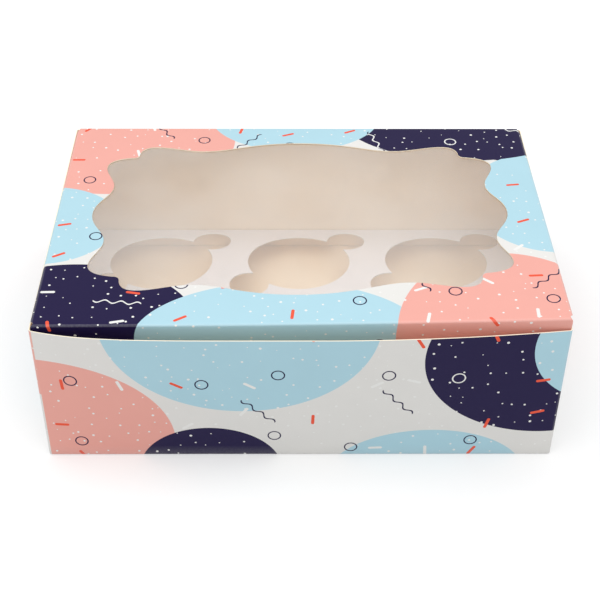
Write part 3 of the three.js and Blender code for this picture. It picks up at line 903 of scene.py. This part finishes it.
# Each dust flap narrows by its own depth at both ends
for side in (-1, 1):
    side_y = np.sort(edge[np.abs(edge[:, 0] - side * FOLD_X) < SAME_LINE, 1])
    past_front = side_y >= -FOLD_Y + DUST_END_GAP - SAME_LINE
    side_y = side_y[past_front & (side_y <= LID_BACK - DUST_END_GAP + SAME_LINE)]
    leaning = DUST_TURN + DUST_LEAN_MORE * forward(side_y)[None]
    largest_turn = DUST_TURN + DUST_LEAN_MORE
    down_flap = flap_distances(SIDE_FOLD_RADIUS, largest_turn, DUST_DEPTH, DUST_ROWS)[:, None]
    backwards = (side_y - side_y[0]) / (side_y[-1] - side_y[0])
    y = side_y[None] + down_flap * (1 - 2 * backwards[None])
    run, drop, turn = bend(down_flap, SIDE_FOLD_RADIUS, leaning)
    start_x = spread(np.full_like(side_y, side * FOLD_X), side_y)[None]
    z = LID_TOP + lift(side * FOLD_X, side_y[None]) - drop
    dust_flap = np.stack([start_x + side * run, y, z], -1)
    inward = np.stack([-side * np.sin(turn), 0 * y, -np.cos(turn)], -1)
    on_fold = np.column_stack([np.full(y.size, side * FOLD_X), y.ravel()])
    outwards = np.broadcast_to(side * down_flap, y.shape).ravel()
    beyond = np.column_stack([outwards, np.zeros(y.size)])
    crease = (turn > CREASE_ENDS) & (turn < DUST_TURN - CREASE_ENDS)
    lid_sheet.add(dust_flap, inward, lid_uv(on_fold, beyond), crease, turned=side > 0)

# The back edge starts to turn down over the top of the back wall, short of where the open lid
# would press it into the wall
back_x = np.sort(edge[np.abs(edge[:, 1] - LID_BACK) < SAME_LINE, 0])
turn = np.linspace(0, BACK_FOLD_TURN, BACK_FOLD_ROWS)[:, None]
y = LID_BACK + BACK_FOLD_RADIUS * np.sin(turn)
z = LID_TOP - BACK_FOLD_RADIUS * (1 - np.cos(turn))
back_fold = np.stack(np.broadcast_arrays(back_x[None], y, z), -1)
inward_y = -BACK_FOLD_INNER_SHARE * np.sin(turn)
inward = np.stack(np.broadcast_arrays(0 * back_x[None], inward_y, -np.cos(turn)), -1)
count = back_x.size * BACK_FOLD_ROWS
on_fold = np.column_stack([np.tile(back_x, BACK_FOLD_ROWS), np.full(count, LID_BACK)])
round_fold = np.repeat(BACK_FOLD_RADIUS * turn.ravel(), back_x.size)
beyond = np.column_stack([np.zeros(count), round_fold])
lid_sheet.add(back_fold, inward, lid_uv(on_fold, beyond), 1.0, turned=False)

printed_lid = lid_sheet.weld("printed_lid", BOARD_FINISHES)
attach(printed_lid, "lid")
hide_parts("lid")

# Window film: a thin clear sheet glued under the lid all round the window. It follows the warp of
# the panel, with the slight ripples of film that was glued by hand.
FILM = 0.2 * MM
FILM_COLUMNS = 90
FILM_ROWS = 60
FILM_GAP = 0.4 * FIT
FILM_COLOUR = (0.95, 0.94, 0.92)
# Painted reflection: how much white haze the film shows at a grazing angle, and in soft patches
FILM_GRAZING = 0.24
FILM_PAINTED_HAZE = 0.25
RIPPLE = 0.1 * MM
RIPPLES_ALONG = 47
RIPPLES_BACK = 53
RIPPLES_SHIFT = 1.0
SWAY = 2
SWAYS_BACK = 31


def clear_film():
    """Clear film with a soft gloss, and white haze that paints its reflection, patchy and thicker
    at a grazing angle.
    """
    graph = Graph("clear_film")
    graph.shader.inputs["Base Color"].default_value = (*FILM_COLOUR, 1)
    graph.shader.inputs["Roughness"].default_value = 0.12
    graph.shader.inputs["IOR"].default_value = 1.45
    # Painted reflection: white haze laid over the window in soft patches, thicker where the film is
    # seen at a grazing angle
    facing = graph.node("ShaderNodeLayerWeight", {"Blend": 0.3}).outputs["Facing"]
    coordinates = graph.node("ShaderNodeTexCoord").outputs["Object"]
    painted_haze = graph.maths("MULTIPLY", graph.noise(coordinates, scale=14.0, detail=2.0), FILM_PAINTED_HAZE)
    grazing = graph.maths("MULTIPLY", facing, FILM_GRAZING)
    graph.feed(graph.shader.inputs["Alpha"], graph.maths("ADD", grazing, painted_haze, clamp=True))
    graph.material.surface_render_method = "BLENDED"
    return graph.material


# The film lies a small gap under the warped panel. Its ripples are a product of two sines, one of
# them swayed by a third.
film_low, film_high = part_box("window_film")
film_x = np.linspace(film_low.x, film_high.x, FILM_COLUMNS)
film_y = np.linspace(film_low.y, film_high.y, FILM_ROWS)
x, y = np.meshgrid(film_x, film_y)
swaying = np.sin(x * RIPPLES_ALONG + SWAY * np.sin(y * SWAYS_BACK))
ripple = RIPPLE * (swaying * np.sin(y * RIPPLES_BACK + RIPPLES_SHIFT) - 1)
film_top = np.stack([x, y, LID_TOP + lift(x, y) - BOARD - FILM_GAP + ripple], -1).reshape(-1, 3)
film_under = film_top - np.array([0, 0, FILM])
film_faces = [grid_faces(FILM_ROWS, FILM_COLUMNS)]
film_uvs = [film_top[:, :2]]
film = board_mesh(
    "film", film_top, film_under, film_faces, film_uvs, np.zeros(x.size), [clear_film()]
)
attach(film, "lid")
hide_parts("window_film")

# Floor: a wide white sheet that keeps the box's soft shadow and is lifted to white for the camera
FLOOR_HALF = 4.0
FLOOR_SHADE = 0.62
NEAR_GLOW = 0.3
FAR_GLOW = 0.7
GLOW_STARTS = 0.1
GLOW_FULL = 0.5
GLOW_STRETCH = (0.7, 1.0, 0.0)


def studio_white():
    """Matte white that glows for the camera and in reflections. The glow rises evenly with the
    distance from the box, between a near and a far one.
    """
    graph = Graph("studio_white")
    path = graph.node("ShaderNodeLightPath")
    seen = graph.maths("MAXIMUM", path.outputs["Is Camera Ray"], path.outputs["Is Glossy Ray"])
    seen = graph.maths("MAXIMUM", seen, path.outputs["Is Transmission Ray"])
    graph.shader.inputs["Base Color"].default_value = (FLOOR_SHADE, FLOOR_SHADE, FLOOR_SHADE, 1)
    graph.shader.inputs["Roughness"].default_value = 1.0
    graph.shader.inputs["Specular IOR Level"].default_value = 0.0
    graph.shader.inputs["Emission Color"].default_value = (1, 1, 1, 1)
    coordinates = graph.node("ShaderNodeTexCoord").outputs["Object"]
    away = graph.vector("LENGTH", graph.vector("MULTIPLY", coordinates, GLOW_STRETCH))
    values = (away, GLOW_STARTS, GLOW_FULL, NEAR_GLOW, FAR_GLOW)
    glow = graph.node("ShaderNodeMapRange", dict(enumerate(values))).outputs["Result"]
    graph.feed(graph.shader.inputs["Emission Strength"], graph.maths("MULTIPLY", seen, glow))
    return graph.material


floor_mesh = bpy.data.meshes.new("floor")
corners = [(x * FLOOR_HALF, y * FLOOR_HALF, 0) for x, y in ((-1, -1), (1, -1), (1, 1), (-1, 1))]
floor_mesh.from_pydata(corners, [], [(0, 1, 2, 3)])
floor_mesh.materials.append(studio_white())
floor = bpy.data.objects.new("floor", floor_mesh)
bpy.context.scene.collection.objects.link(floor)

# Lights: an even white world, which the camera sees as pure white, and one broad softbox overhead,
# a little to the front and left
WORLD_STRENGTH = 0.80
BACKDROP_STRENGTH = 1.0
SOFTBOX_PLACE = Vector((-0.1, -0.45, 1.55))
SOFTBOX_SIZE = 1.9
SOFTBOX_POWER = 17
world = bpy.data.worlds.new("studio")
bpy.context.scene.world = world
world.use_nodes = True
sky = world.node_tree.nodes["Background"]
rays = world.node_tree.nodes.new("ShaderNodeLightPath")
backdrop = world.node_tree.nodes.new("ShaderNodeMix")
backdrop.data_type = "FLOAT"
backdrop.inputs[2].default_value = WORLD_STRENGTH
backdrop.inputs[3].default_value = BACKDROP_STRENGTH
sky.inputs["Color"].default_value = (1, 1, 1, 1)
world.node_tree.links.new(rays.outputs["Is Camera Ray"], backdrop.inputs[0])
world.node_tree.links.new(backdrop.outputs[0], sky.inputs["Strength"])
lamp = bpy.data.lights.new("overhead", "AREA")
lamp.size = SOFTBOX_SIZE
lamp.energy = SOFTBOX_POWER
softbox = bpy.data.objects.new("overhead", lamp)
softbox.location = SOFTBOX_PLACE
softbox.rotation_euler = (-SOFTBOX_PLACE).to_track_quat("-Z", "Y").to_euler()
bpy.context.scene.collection.objects.link(softbox)

# Camera: the photograph's own view, from the front and well above
CAMERA_PLACE = (-0.0050, -0.5033, 0.4438)
CAMERA_TILT = (50.41, -0.47, -0.01)
CAMERA_LENS = 75.9
CAMERA_SENSOR = 36.0
lens = bpy.data.cameras.new("camera")
lens.lens = CAMERA_LENS
lens.sensor_width = CAMERA_SENSOR
lens.sensor_fit = "HORIZONTAL"
lens.clip_start = 0.01
camera = bpy.data.objects.new("camera", lens)
camera.location = CAMERA_PLACE
camera.rotation_mode = "ZYX"
camera.rotation_euler = [math.radians(a) for a in CAMERA_TILT]
bpy.context.scene.collection.objects.link(camera)
bpy.context.scene.camera = camera
bpy.context.scene.view_settings.view_transform = "Standard"
